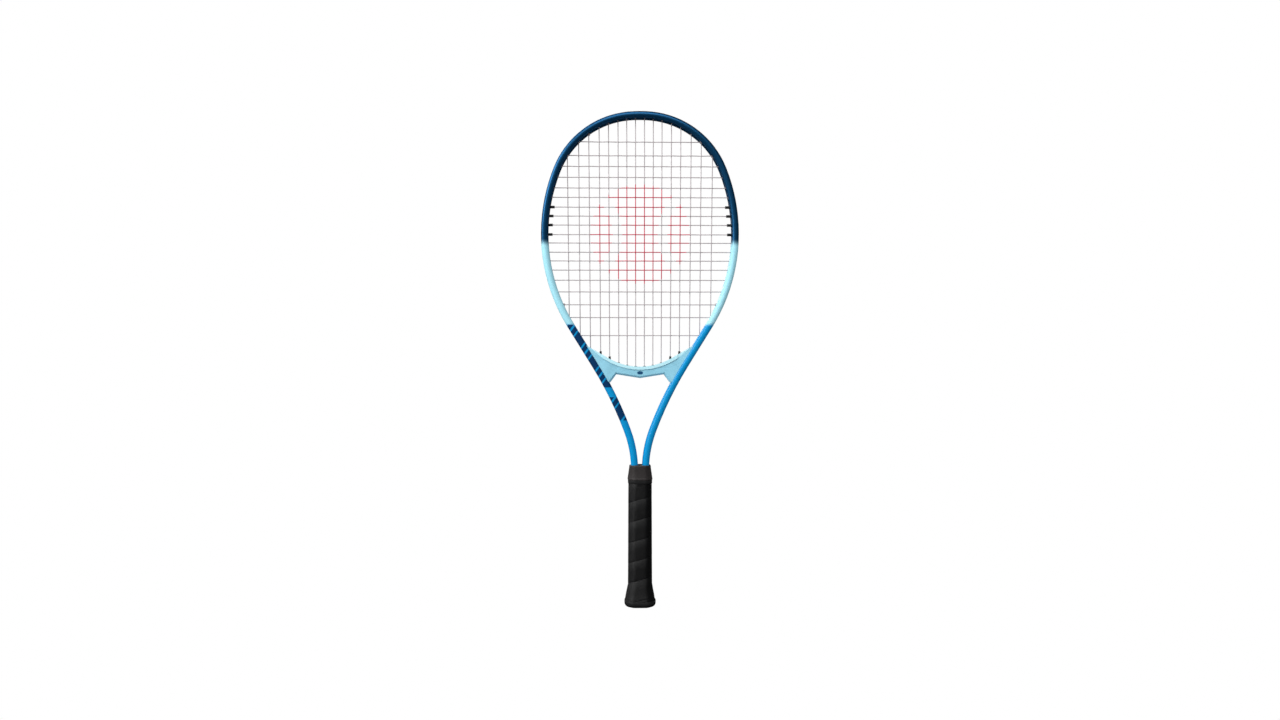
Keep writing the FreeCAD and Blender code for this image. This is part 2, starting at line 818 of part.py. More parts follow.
def channel_face(ends):
    """The string channel seen from the front: under the roof and open below."""
    bend_x = (bridge_radius + bridge_roof) * math.sin(math.radians(bridge_arc_angle))
    left, right = bridge_curve(-bend_x, bridge_roof), bridge_curve(bend_x, bridge_roof)
    floor_z = gusset_tip[1] - channel_overrun
    foot = bridge_corner[0] - channel_foot_margin
    edges = [Part.makeLine(ends[0], left),
             Part.Arc(left, bridge_curve(0, bridge_roof), right).toShape(),
             Part.makeLine(right, ends[1]),
             Part.makeLine(ends[1], Vector(foot, 0, floor_z)),
             Part.makeLine(Vector(foot, 0, floor_z), Vector(-foot, 0, floor_z)),
             Part.makeLine(Vector(-foot, 0, floor_z), ends[0])]
    return Part.Face(Part.Wire(edges))


def pin_places():
    """Stations of the bridge pins, between the gusset tip and the shoulder of the bridge."""
    low = station_of(Vector(gusset_tip[0], 0, gusset_tip[1]))
    high = station_of(Vector(bridge_rim_half_width, 0, bridge_curve(bridge_rim_half_width, bridge_roof).z))
    return [low + (high - low) * share for share in pin_stations]


def pin_body(station, side, gap):
    """A press-fit pin square to the tube, through its inner wall into the wing."""
    inward = path_outward(station) * -1.0
    begin = path_point(station, wall_inside + tube_wall + pin_inset)
    pin = Part.makeCylinder(pin_radius + gap, pin_length + gap, begin, inward)
    return pin if side > 0 else mirrored(pin)


def make_yoke_pins():
    return Part.makeCompound([pin_body(station, side, 0.0) for station in pin_places() for side in (-1, 1)])


# ---------------------------------------------------------------------------------------------------------
# Handle


def octagon(z, width, grow):
    """Outline of the handle at a height: wide front and back facets, narrower sides, even bevels."""
    x = width / 2 + grow
    y = width * handle_aspect / 2 + grow
    bevel = bevel_ratio * width + grow * (2 - math.sqrt(2))
    corners = [(x - bevel, -y), (x, bevel - y), (x, y - bevel), (x - bevel, y),
               (bevel - x, y), (-x, y - bevel), (-x, bevel - y), (bevel - x, -y)]
    points = [Vector(px, py, z) for px, py in corners]
    return Part.makePolygon(points + [points[0]])


def stacked(levels, grow=0.0):
    """Solid through a list of octagons, each (height, width) or (height, width, own growth)."""
    outlines = [octagon(level[0], level[1], grow + sum(level[2:])) for level in levels]
    return Part.makeLoft(outlines, True, True)


def pallet_levels(bottom_z):
    """Outside of the pallet from a height up to its top end, below the grip, tape and collar."""
    return [(bottom_z, pallet_bottom_width), (grip_top_z, pallet_top_width), (pallet_top_z, pallet_tip_width)]


def shaft_envelope():
    """Both shafts within the handle, with a fitting gap."""
    shafts = tube_envelope(STARTS[4] + PATH[4].length / 2, PATH_LENGTH + overcut, fit_gap)
    return shafts.fuse(mirrored(shafts))


def spacer_box(gap):
    size = Vector(2 * spacer_half_width + 2 * gap, 2 * spacer_half_depth + 2 * gap,
                  spacer_top_z - spacer_bottom_z + 2 * gap)
    corner = Vector(-size.x / 2, -size.y / 2, spacer_bottom_z - gap)
    return Part.makeBox(size.x, size.y, size.z, corner)


def screw_body(z, gap):
    """Countersunk screw from the front half through the spacer into the rear half."""
    shank = Part.makeCylinder(screw_radius + gap, 2 * screw_half_length, Vector(0, -screw_half_length, z),
                              DEPTH_AXIS)
    front = pallet_bottom_width * handle_aspect / 2 - screw_sink
    head = Part.makeCone(screw_head_radius + gap, screw_radius + gap, screw_head_height,
                         Vector(0, -front, z), DEPTH_AXIS)
    neck_length = front - screw_half_length + screw_neck_lap
    neck = Part.makeCylinder(screw_radius + gap, neck_length, Vector(0, -front, z), DEPTH_AXIS)
    return single_solid(shank.fuse(head).fuse(neck))


def make_pallet_half(side):
    """Front (side -1) or rear half of the moulded pallet that clamps both shafts."""
    inner_z = cap_floor + pallet_floor_gap
    neck = [(inner_z, pallet_bottom_width), (cap_top_z + overcut, pallet_bottom_width)]
    body = stacked(pallet_levels(cap_top_z + fit_gap)).fuse(stacked(neck, -cap_wall - fit_gap))
    reach_x, reach_y = shaft_centre_x + half_width, lobe_y + pallet_hollow_side
    hollow = Part.makeBox(2 * reach_x, 2 * reach_y, shaft_end_z + pallet_hollow_over,
                          Vector(-reach_x, -reach_y, inner_z - pallet_floor_gap))
    body = body.cut(hollow).cut(shaft_envelope()).cut(spacer_box(fit_gap))
    fasteners = [screw_body(z, fit_gap) for z in screw_heights]
    fasteners += staple_bodies(slip_gap) + [tack_body(slip_gap)]
    body = body.cut(Part.makeCompound(fasteners))
    near_y = fit_gap / 2 if side > 0 else -pallet_bottom_width - fit_gap / 2
    keep = Part.makeBox(2 * pallet_bottom_width, pallet_bottom_width, pallet_top_z + overcut,
                        Vector(-pallet_bottom_width, near_y, 0))
    return largest(body.common(keep))


def make_shaft_spacer():
    """Block that holds the two shafts apart in the handle."""
    block = spacer_box(0.0).cut(shaft_envelope())
    return largest(block.cut(Part.makeCompound([screw_body(z, fit_gap) for z in screw_heights])))


def make_pallet_screws():
    return Part.makeCompound([screw_body(z, 0.0) for z in screw_heights])


def lip_body():
    """The cap's rounded end, as wide as the wrapped grip beside it."""
    block = stacked([(0.0, cap_lip_width), (cap_lip_z, cap_lip_width)])
    lowest = [e for e in block.Edges if e.BoundBox.ZMax < face_touch]
    return block.makeFillet(cap_edge_radius, lowest)


def cap_outside():
    levels = [(z, width) for z, width in reversed(cap_flare)]
    return single_solid(lip_body().fuse(stacked(levels)))


def make_butt_cap():
    """Flared end cap that slides over the pallet, with a recess for its end badge."""
    cavity = stacked([(cap_floor, pallet_bottom_width), (cap_top_z + overcut, pallet_bottom_width)], -cap_wall)
    recess = stacked([(recess_start, badge_width), (badge_setback + badge_thickness, badge_width)], fit_gap)
    body = cap_outside().cut(cavity).cut(recess)
    return single_solid(body.cut(Part.makeCompound(staple_bodies(slip_gap) + [tack_body(slip_gap)])))


def make_butt_badge():
    return stacked([(badge_setback, badge_width), (badge_setback + badge_thickness, badge_width)])


def staple_bodies(gap):
    """A staple through each side of the cap's skirt into the pallet."""
    wire = staple_wire + gap
    face_x = pallet_bottom_width / 2
    staples = []
    for side in (-1, 1):
        back = Part.makeBox(2 * wire, staple_width + 2 * wire, 2 * wire,
                            Vector(-wire, -staple_width / 2 - wire, -wire))
        legs = [Part.makeBox(staple_leg, 2 * wire, 2 * wire, Vector(-staple_leg, y - wire, -wire))
                for y in (-staple_width / 2, staple_width / 2)]
        staple = back.multiFuse(legs)
        staple.translate(Vector(face_x + staple_proud, 0, cap_top_z - staple_drop))
        staples.append(single_solid(staple if side > 0 else mirrored(staple)))
    return staples


def make_cap_staples():
    return Part.makeCompound(staple_bodies(0.0))


def tack_body(gap):
    """Flat-headed tack that pins the grip's first turn to the rear of the cap."""
    out_y = pallet_bottom_width * handle_aspect / 2 + tack_proud
    head = Part.makeCylinder(tack_head_radius + gap, tack_head_thickness + gap,
                             Vector(0, out_y, tack_height), DEPTH_AXIS)
    shank = Part.makeCylinder(tack_radius + gap, tack_length, Vector(0, out_y - tack_length, tack_height),
                              DEPTH_AXIS)
    return single_solid(head.fuse(shank))


def grip_levels():
    """Inner face of the grip from the cap's lip up to its top end."""
    flare = [(z, width) for z, width in reversed(cap_flare)]
    flare[0] = (cap_lip_z + fit_gap, flare[0][1])
    return flare + [(grip_top_z, pallet_top_width)]


def make_grip_wrap():
    """The wound grip as the sleeve that its turns make."""
    inner = stacked(grip_levels(), grip_inner_ease)
    body = stacked(grip_levels(), grip_thickness).cut(inner)
    cuts = staple_bodies(2 * slip_gap) + [tack_body(2 * slip_gap)]
    return single_solid(body.cut(Part.makeCompound(cuts)))


def tape_levels():
    """Inner face of the finishing tape: over the grip's end, then down onto the pallet."""
    over_grip = grip_thickness + slip_gap
    below = pallet_top_width + (pallet_bottom_width - pallet_top_width) * (
        (grip_top_z - tape_bottom_z) / (grip_top_z - cap_top_z))
    return [(tape_bottom_z, below, over_grip), (grip_top_z + tape_step_up, pallet_top_width, over_grip),
            (tape_top_z, pallet_tip_width, tape_tip_growth)]


def make_finishing_tape():
    outer = stacked(tape_levels(), tape_thickness)
    return single_solid(outer.cut(stacked(tape_levels())))


def make_grip_collar():
    """Tapered rubber ring from the taped end of the grip up to the shafts."""
    over_tape = tape_thickness + slip_gap
    top_of_grip, top_of_tape = tape_levels()[1:]
    outer = stacked([(collar_bottom_z, top_of_grip[1], top_of_grip[2] + over_tape + collar_lip),
                     (collar_top_z, collar_top_width)])
    seat_z = pallet_top_z + collar_seat_above
    inner = stacked([top_of_grip, top_of_tape, (seat_z, pallet_tip_width, collar_seat_growth)], over_tape)
    throat = stacked([(pallet_top_z, collar_throat_width), (collar_top_z + overcut, collar_throat_width)])
    return single_solid(outer.cut(inner).cut(throat).cut(shaft_envelope()))


# ---------------------------------------------------------------------------------------------------------
# Assembly


def build():
    crosses = range(corner_mains, len(cross_heights) - corner_mains - 1)
    side_right = [RIGHT[i] for i in crosses]
    tie = len(cross_heights) - 1 - corner_mains
    low_right = [RIGHT[tie]] + LOWER[bridge_mains:]
    drilled = [drilled_hole(a) for a in MAIN_TOPS + side_right + low_right]
    drilled += [mirrored(drilled_hole(a)) for a in side_right + low_right]
    drilled += [pin_body(station, side, slip_gap) for station in pin_places() for side in (-1, 1)]
    side_strip = strip_for(side_right)
    low_strip = strip_for(low_right)
    return {
        "frame_tube": make_frame_tube(drilled),
        "throat_yoke": make_throat_yoke(),
        "yoke_pins": make_yoke_pins(),
        "head_guard": make_head_guard(),
        "grommet_strip_right": side_strip,
        "grommet_strip_left": mirrored(side_strip),
        "lower_grommet_strip_right": low_strip,
        "lower_grommet_strip_left": mirrored(low_strip),
        "bridge_grommet_strip": make_bridge_strip(),
        "shock_sleeves_right": make_sleeves(RIGHT),
        "shock_sleeves_left": make_sleeves(CROSS_LEFTS),
        "main_string": make_string(main_route()),
        "cross_string": make_string(cross_route()),
        "string_knots": make_string_knots(),
        "pallet_front": make_pallet_half(-1),
        "pallet_rear": make_pallet_half(1),
        "shaft_spacer": make_shaft_spacer(),
        "pallet_screws": make_pallet_screws(),
        "butt_cap": make_butt_cap(),
        "butt_badge": make_butt_badge(),
        "cap_staples": make_cap_staples(),
        "grip_tack": tack_body(0.0),
        "grip_wrap": make_grip_wrap(),
        "finishing_tape": make_finishing_tape(),
        "grip_collar": make_grip_collar(),
    }


if __name__ == "__main__":
    os.makedirs("parts", exist_ok=True)
    for node, shape in build().items():
        if not shape.isValid():
            raise ValueError(node + " is not valid")
        shape.exportStep("parts/%s.step" % node)
        print("%-26s %10.1f mm3  %d solids" % (node, shape.Volume, len(shape.Solids)))
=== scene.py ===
import math

import bmesh
import bpy
from bpy.props import FloatProperty, FloatVectorProperty, PointerProperty
from bpy.types import Operator, Panel, PropertyGroup
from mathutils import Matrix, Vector


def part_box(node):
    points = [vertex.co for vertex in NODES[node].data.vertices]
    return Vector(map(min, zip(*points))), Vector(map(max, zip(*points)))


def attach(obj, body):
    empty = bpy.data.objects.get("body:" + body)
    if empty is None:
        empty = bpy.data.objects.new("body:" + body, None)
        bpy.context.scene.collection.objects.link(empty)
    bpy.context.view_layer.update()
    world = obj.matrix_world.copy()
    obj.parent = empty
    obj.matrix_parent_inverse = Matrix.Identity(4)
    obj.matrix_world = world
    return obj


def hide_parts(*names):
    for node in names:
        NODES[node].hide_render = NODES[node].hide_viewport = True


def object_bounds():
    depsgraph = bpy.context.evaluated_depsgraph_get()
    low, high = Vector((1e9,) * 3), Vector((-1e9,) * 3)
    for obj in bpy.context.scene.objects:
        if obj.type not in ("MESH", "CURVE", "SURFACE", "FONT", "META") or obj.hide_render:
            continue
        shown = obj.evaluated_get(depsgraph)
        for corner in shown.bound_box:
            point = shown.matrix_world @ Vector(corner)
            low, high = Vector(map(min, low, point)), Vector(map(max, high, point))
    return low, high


bl_info = {
    "name": "Tennis racket",
    "version": (1, 0, 0),
    "blender": (4, 5, 0),
    "location": "View3D > Sidebar > Racket",
    "description": "Paints the racket's frame, strings and fittings and makes its wound grip and end cap",
    "category": "Object",
}

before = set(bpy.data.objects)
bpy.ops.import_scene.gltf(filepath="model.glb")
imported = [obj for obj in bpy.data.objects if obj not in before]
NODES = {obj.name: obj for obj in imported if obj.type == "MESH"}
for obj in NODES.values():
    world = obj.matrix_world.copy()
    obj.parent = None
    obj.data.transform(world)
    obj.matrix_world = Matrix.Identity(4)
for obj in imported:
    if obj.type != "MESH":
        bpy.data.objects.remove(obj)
CAD_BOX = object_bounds()

# Inside of the wound grip: height and width across the handle, from the cap's lip to the pallet's tip.
HANDLE_LEVELS = [(0.009, 0.0405), (0.015, 0.0378), (0.0206, 0.0348), (0.0262, 0.0322), (0.031, 0.031),
                 (0.038, 0.0308), (0.177, 0.0298), (0.187, 0.0286)]
SIDE_SHARE = 0.5
BEVEL_SHARE = 0.5056
FRONT_SHARE = 0.45
RING_STEPS = 96

# Slanted bars on the throat: how they run, their spacing, their two rows' heights and their faded edge.
BAR_RUN = (0.80, 0.0, -0.60)
BAR_PITCH = 0.0088
JOINED_PITCH = 4 * BAR_PITCH
BAR_ROWS = ((0.3060, 0.3940), (0.2600, 0.2930))
BAR_EDGE = 0.0006

# Bridge: centre of its top's arc, radius inside which it is below the rim that carries a painted highlight,
# its plain oval and front face.
ARC_CENTRE_Z = 0.4232
RIM_RADIUS = 0.0922
OVAL_Z = 0.3266
OVAL_HALF_WIDTH = 0.0042
OVAL_HALF_HEIGHT = 0.0024
BRIDGE_FRONT_Y = -0.0082

# Stencil: how far out its two seams' circles are centred, in radii, and half their clear width.
SEAM_OFFSET = 1.45
SEAM_HALF_WIDTH = 0.0066

# Wound grip: turns below the seam at mid front, spare at the top, and how sharp its corners are.
TURNS_BELOW_SEAM = 3.75
SPARE_TURN = 0.02
GRIP_HARDNESS = 18.0

# Studio: each light's name, place, size and power, then the camera's place and lens.
LIGHTS = (("key", (-2.4, -1.15, 1.75), 2.0, 68.0), ("front", (-0.2, -1.7, 2.3), 2.0, 34.0),
          ("back", (-0.9, 2.2, 1.8), 2.2, 40.0))
SURROUND = (0.50, 0.51, 0.52)
FLOOR_GAP = 0.0003
FLOOR_HALF_SIZE = 12.0
CAMERA_PLACE = (-0.03, -1.45, 0.3445)
CAMERA_TARGET = (0.0, 0.0, 0.3445)
CAMERA_LENS = 29.1


def paint(red, green, blue):
    """Linear colour of a display colour given from 0 to 255."""
    return tuple(((c / 255 + 0.055) / 1.055) ** 2.4 if c > 10 else c / 255 / 12.92
                 for c in (red, green, blue))


def colour_property(name, description, rgb):
    return FloatVectorProperty(name=name, description=description, subtype="COLOR", size=3, min=0.0,
                               max=1.0, default=paint(*rgb))


def length_property(name, description, metres):
    return FloatProperty(name=name, description=description, unit="LENGTH", precision=4, default=metres)


class RacketColours(PropertyGroup):
    """Colours of the racket's paints, mouldings and strings, and of the painted highlight on the bridge's
    rim
    """

    navy: colour_property("Navy", "Paint of the upper hoop", (22, 80, 122))
    aqua: colour_property("Aqua", "Paint of the lower hoop", (166, 224, 238))
    blue: colour_property("Blue", "Paint of the throat and shafts", (0, 142, 202))
    bars: colour_property("Bars", "Slanted bars on one side of the throat", (4, 52, 96))
    yoke: colour_property("Yoke", "Moulded bridge", (152, 216, 238))
    # Painted highlight: a paler colour on the bridge's raised top rim, where light from above falls.
    yoke_rim_highlight: colour_property("Yoke rim", "Raised rim along the bridge's top", (192, 240, 251))
    string: colour_property("String", "Natural string", (186, 176, 178))
    stencil: colour_property("Stencil", "Ink of the round stencil on the strings", (200, 0, 62))
    black: colour_property("Black", "Moulded grommets, guard and end cap", (17, 17, 18))
    grip: colour_property("Grip", "Wound grip tape", (9, 9, 10))
    collar: colour_property("Collar", "Rubber collar", (24, 21, 22))


class RacketSizes(PropertyGroup):
    """Sizes of the painted bands and of the wound grip"""

    blue_top: length_property("Blue up to", "Height at which blue turns to aqua", 0.394)
    blue_fade: length_property("Blue fade", "Height of that change of colour", 0.006)
    aqua_top: length_property("Aqua up to", "Height at which aqua turns to navy", 0.508)
    aqua_fade: length_property("Aqua fade", "Height of that change of colour", 0.011)
    stencil_height: length_property("Stencil height", "Height of the stencil's centre", 0.521)
    stencil_radius: length_property("Stencil radius", "Outer radius of the stencil", 0.070)
    wrap_pitch: length_property("Wrap pitch", "Rise of the grip tape in one turn", 0.028)
    wrap_seam: length_property("Wrap seam", "Height of one seam in the middle of the front", 0.067)
    wrap_overlap: length_property("Wrap overlap", "How far each turn lies over the one below", 0.0024)
    wrap_thickness: length_property("Wrap thickness", "Thickness of the grip tape", 0.00145)
    edge_width: length_property("Soft edge", "Rounding of the moulded bridge's edges", 0.0007)


# ---------------------------------------------------------------------------------------------------------
# Node helpers


def add_node(tree, kind, inputs=None, **attributes):
    """A shader node with its settings, and with each input given a value or joined to a socket."""
    node = tree.nodes.new("ShaderNode" + kind)
    for name, value in attributes.items():
        setattr(node, name, value)
    for key, value in (inputs or {}).items():
        if isinstance(value, bpy.types.NodeSocket):
            tree.links.new(value, node.inputs[key])
        else:
            node.inputs[key].default_value = value
    return node


def maths(tree, operation, *values):
    return add_node(tree, "Math", dict(enumerate(values)), operation=operation).outputs[0]


def fade(tree, value, low, high):
    """Mask that rises smoothly from 0 at low to 1 at high."""
    inputs = {"Value": value, "From Min": low, "From Max": high}
    return add_node(tree, "MapRange", inputs, interpolation_type="SMOOTHSTEP").outputs[0]


def blend_colour(tree, mask, first, second):
    """First colour where the mask is 0, second where it is 1."""
    colours = [c if isinstance(c, bpy.types.NodeSocket) else (*c, 1.0) for c in (first, second)]
    node = add_node(tree, "Mix", {0: mask, 6: colours[0], 7: colours[1]}, data_type="RGBA")
    return node.outputs[2]


def all_of(tree, *masks):
    """Mask that is 1 only where every mask is."""
    product = masks[0]
    for mask in masks[1:]:
        product = maths(tree, "MULTIPLY", product, mask)
    return product


def object_place(tree):
    """Place on the surface in metres, and its three coordinates."""
    place = add_node(tree, "TexCoord").outputs["Object"]
    split = add_node(tree, "SeparateXYZ", {0: place})
    return place, split.outputs[0], split.outputs[1], split.outputs[2]


def new_group(name, inputs, outputs):
    """Empty shader node group with float inputs, one Place vector, and float outputs."""
    group = bpy.data.node_groups.new(name, "ShaderNodeTree")
    group.interface.new_socket("Place", in_out="INPUT", socket_type="NodeSocketVector")
    for title, value in inputs:
        socket = group.interface.new_socket(title, in_out="INPUT", socket_type="NodeSocketFloat")
        socket.default_value = value
    for title in outputs:
        group.interface.new_socket(title, in_out="OUTPUT", socket_type="NodeSocketFloat")
    entry = group.nodes.new("NodeGroupInput")
    leave = group.nodes.new("NodeGroupOutput")
    return group, entry.outputs, leave.inputs


def moulded_grain():
    """Group: fine pebbled grain of a moulding or coated tape, as a height and as a tone."""
    group, given, made = new_group("Moulded grain", [("Scale", 2500.0), ("Pebble", 0.5)], ["Height", "Tone"])
    cells = add_node(group, "TexVoronoi", {"Vector": given["Place"], "Scale": given["Scale"]})
    noise = add_node(group, "TexNoise", {"Vector": given["Place"], "Scale": given["Scale"], "Detail": 3.0})
    pebble = maths(group, "MULTIPLY", cells.outputs["Distance"], given["Pebble"])
    height = maths(group, "ADD", pebble, noise.outputs[0])
    group.links.new(height, made["Height"])
    group.links.new(fade(group, height, 0.25, 1.1), made["Tone"])
    return group


def slow_mottle():
    """Group: slow change of shade over a hand's width, with finer clouding inside it."""
    group, given, made = new_group("Slow mottle", [("Scale", 30.0)], ["Shade"])
    broad = add_node(group, "TexNoise", {"Vector": given["Place"], "Scale": given["Scale"], "Detail": 2.0})
    finer = maths(group, "MULTIPLY", given["Scale"], 7.0)
    cloud = add_node(group, "TexNoise", {"Vector": given["Place"], "Scale": finer, "Detail": 4.0})
    total = maths(group, "ADD", broad.outputs[0], maths(group, "MULTIPLY", cloud.outputs[0], 0.5))
    group.links.new(fade(group, total, 0.45, 1.05), made["Shade"])
    return group


def handling_marks():
    """Group: thin rubbed marks and scuffs of use, as a mask."""
    group, given, made = new_group("Handling marks", [("Scale", 60.0), ("Share", 0.2)], ["Mask"])
    stretched = add_node(group, "Mapping", {"Vector": given["Place"], "Rotation": (0.3, 0.5, 0.2),
                                            "Scale": (1.0, 3.0, 9.0)})
    streaks = add_node(group, "TexNoise", {"Vector": stretched.outputs[0], "Scale": given["Scale"],
                                           "Detail": 6.0, "Roughness": 0.65})
    patches = add_node(group, "TexNoise", {"Vector": given["Place"], "Scale": 22.0, "Detail": 2.0})
    level = maths(group, "SUBTRACT", 0.78, maths(group, "MULTIPLY", given["Share"], 0.4))
    over = maths(group, "SUBTRACT", streaks.outputs[0], level)
    mask = all_of(group, fade(group, over, 0.0, 0.05), fade(group, patches.outputs[0], 0.5, 0.62))
    group.links.new(mask, made["Mask"])
    return group


GROUP_MAKERS = {"Moulded grain": moulded_grain, "Slow mottle": slow_mottle, "Handling marks": handling_marks}


def place_group(tree, name, inputs):
    """A shared node group, made at its first use, placed in a material with its own values."""
    node = add_node(tree, "Group")
    node.node_tree = bpy.data.node_groups.get(name) or GROUP_MAKERS[name]()
    for key, value in inputs.items():
        if isinstance(value, bpy.types.NodeSocket):
            tree.links.new(value, node.inputs[key])
        else:
            node.inputs[key].default_value = value
    return node.outputs


def start_finish(name, shader_values):
    """New material with its Principled shader set; returns material, tree and shader."""
    material = bpy.data.materials.new(name)
    material.use_nodes = True
    tree = material.node_tree
    shader = tree.nodes["Principled BSDF"]
    for key, value in shader_values.items():
        shader.inputs[key].default_value = value
    return material, tree, shader


def join_bump(tree, shader, height, strength, distance):
    bump = add_node(tree, "Bump", {"Strength": strength, "Distance": distance, "Height": height})
    tree.links.new(bump.outputs[0], shader.inputs["Normal"])


# ---------------------------------------------------------------------------------------------------------
# Finishes


def moulded_finish(name, colour, lighter, roughness, grain_scale, grain_depth, marks=0.15, coat=0.0):
    """Moulded plastic, rubber or coated tape: mottled colour, fine grain, rubbed marks."""
    values = {"Coat Weight": coat, "Coat Roughness": 0.3, "Specular IOR Level": 0.3}
    material, tree, shader = start_finish(name, values)
    place = object_place(tree)[0]
    mottle = place_group(tree, "Slow mottle", {"Place": place, "Scale": 45.0})
    grain = place_group(tree, "Moulded grain", {"Place": place, "Scale": grain_scale, "Pebble": 0.6})
    scuffs = place_group(tree, "Handling marks", {"Place": place, "Scale": 70.0, "Share": marks})
    dark = tuple(c * 0.8 for c in colour)
    base = blend_colour(tree, mottle["Shade"], dark, colour)
    base = blend_colour(tree, maths(tree, "MULTIPLY", grain["Tone"], 0.35), base, lighter)
    base = blend_colour(tree, maths(tree, "MULTIPLY", scuffs["Mask"], 0.5), base, lighter)
    tree.links.new(base, shader.inputs["Base Color"])
    spread = maths(tree, "MULTIPLY", mottle["Shade"], 0.12)
    rubbed = maths(tree, "MULTIPLY", scuffs["Mask"], -0.12)
    rough = maths(tree, "ADD", maths(tree, "ADD", spread, rubbed), roughness)
    tree.links.new(rough, shader.inputs["Roughness"])
    join_bump(tree, shader, grain["Height"], 0.35, grain_depth)
    return material


def painted_finish(colours, sizes):
    """Lacquered aluminium: navy, aqua and blue bands, and slanted bars on one side of the throat."""
    values = {"Coat Weight": 0.12, "Coat Roughness": 0.2, "Coat IOR": 1.45, "Specular IOR Level": 0.15}
    material, tree, shader = start_finish("lacquered_aluminium", values)
    place, x, y, z = object_place(tree)
    to_aqua = fade(tree, z, sizes.blue_top - sizes.blue_fade / 2, sizes.blue_top + sizes.blue_fade / 2)
    to_navy = fade(tree, z, sizes.aqua_top - sizes.aqua_fade / 2, sizes.aqua_top + sizes.aqua_fade / 2)
    base = blend_colour(tree, to_aqua, colours.blue, colours.aqua)
    base = blend_colour(tree, to_navy, base, colours.navy)
    base = blend_colour(tree, slanted_bars(tree, place, x, y, z), base, colours.bars)
    mottle = place_group(tree, "Slow mottle", {"Place": place, "Scale": 25.0})
    flake = add_node(tree, "TexNoise", {"Vector": place, "Scale": 3200.0, "Detail": 1.0})
    shade = maths(tree, "ADD", maths(tree, "MULTIPLY", mottle["Shade"], 0.05),
                  maths(tree, "MULTIPLY", flake.outputs[0], 0.06))
    shade = maths(tree, "ADD", shade, 0.94)
    toned = add_node(tree, "Mix", {0: 1.0, 6: base, 7: shade}, data_type="RGBA", blend_type="MULTIPLY")
    tree.links.new(toned.outputs[2], shader.inputs["Base Color"])
    tree.links.new(maths(tree, "MULTIPLY", to_navy, 0.72), shader.inputs["Metallic"])
    scuffs = place_group(tree, "Handling marks", {"Place": place, "Scale": 90.0, "Share": 0.1})
    rough = maths(tree, "ADD", maths(tree, "MULTIPLY", scuffs["Mask"], 0.1), 0.36)
    tree.links.new(rough, shader.inputs["Roughness"])
    peel = add_node(tree, "TexNoise", {"Vector": place, "Scale": 700.0, "Detail": 1.0})
    join_bump(tree, shader, peel.outputs[0], 0.015, 0.0002)
    return material


def slanted_bars(tree, place, x, y, z):
    """Mask of two rows of slanted bars on the front of the left side of the throat."""
    run = add_node(tree, "VectorMath", {0: place, 1: BAR_RUN}, operation="DOT_PRODUCT")
    beat = maths(tree, "FRACT", maths(tree, "DIVIDE", run.outputs["Value"], BAR_PITCH))
    bar = all_of(tree, fade(tree, beat, 0.02, 0.10), fade(tree, beat, 0.80, 0.72))
    slow = maths(tree, "FRACT", maths(tree, "DIVIDE", run.outputs["Value"], JOINED_PITCH))
    joined = fade(tree, slow, 0.48, 0.52)
    bar = maths(tree, "MAXIMUM", bar, all_of(tree, joined, fade(tree, slow, 0.97, 0.93)))
    rows = [all_of(tree, fade(tree, z, low, low + BAR_EDGE), fade(tree, z, high, high - BAR_EDGE))
            for low, high in BAR_ROWS]
    left = fade(tree, x, -0.001, -0.002)
    front = fade(tree, y, -0.0056, -0.0060)
    return all_of(tree, bar, maths(tree, "ADD", *rows), left, front)


def yoke_finish(colours):
    """Satin moulded bridge with a painted highlight, a paler colour, on its rim and one plain dark oval in
    its middle.
    """
    values = {"Coat Weight": 0.25, "Coat Roughness": 0.25}
    material, tree, shader = start_finish("bridge_moulding", values)
    place, x, y, z = object_place(tree)
    below = maths(tree, "SUBTRACT", z, ARC_CENTRE_Z)
    distance = maths(tree, "SQRT", maths(tree, "ADD", maths(tree, "MULTIPLY", x, x),
                                         maths(tree, "MULTIPLY", below, below)))
    # Mask of the bridge's top rim, where the painted highlight goes.
    rim = fade(tree, distance, RIM_RADIUS + 0.0002, RIM_RADIUS - 0.0002)
    across = maths(tree, "DIVIDE", x, OVAL_HALF_WIDTH)
    upward = maths(tree, "DIVIDE", maths(tree, "SUBTRACT", z, OVAL_Z), OVAL_HALF_HEIGHT)
    oval = maths(tree, "ADD", maths(tree, "MULTIPLY", across, across),
                 maths(tree, "MULTIPLY", upward, upward))
    mark = all_of(tree, fade(tree, oval, 1.1, 0.9),
                  fade(tree, y, BRIDGE_FRONT_Y + 0.0002, BRIDGE_FRONT_Y - 0.0002))
    mottle = place_group(tree, "Slow mottle", {"Place": place, "Scale": 40.0})
    grain = place_group(tree, "Moulded grain", {"Place": place, "Scale": 1800.0, "Pebble": 0.4})
    base = blend_colour(tree, mottle["Shade"], tuple(c * 0.93 for c in colours.yoke), colours.yoke)
    # Painted highlight: the rim is painted in the paler colour.
    base = blend_colour(tree, rim, base, colours.yoke_rim_highlight)
    base = blend_colour(tree, mark, base, colours.navy)
    tree.links.new(base, shader.inputs["Base Color"])
    tree.links.new(maths(tree, "ADD", maths(tree, "MULTIPLY", mottle["Shade"], 0.1), 0.36),
                   shader.inputs["Roughness"])
    join_bump(tree, shader, grain["Height"], 0.12, 0.0003)
    return material


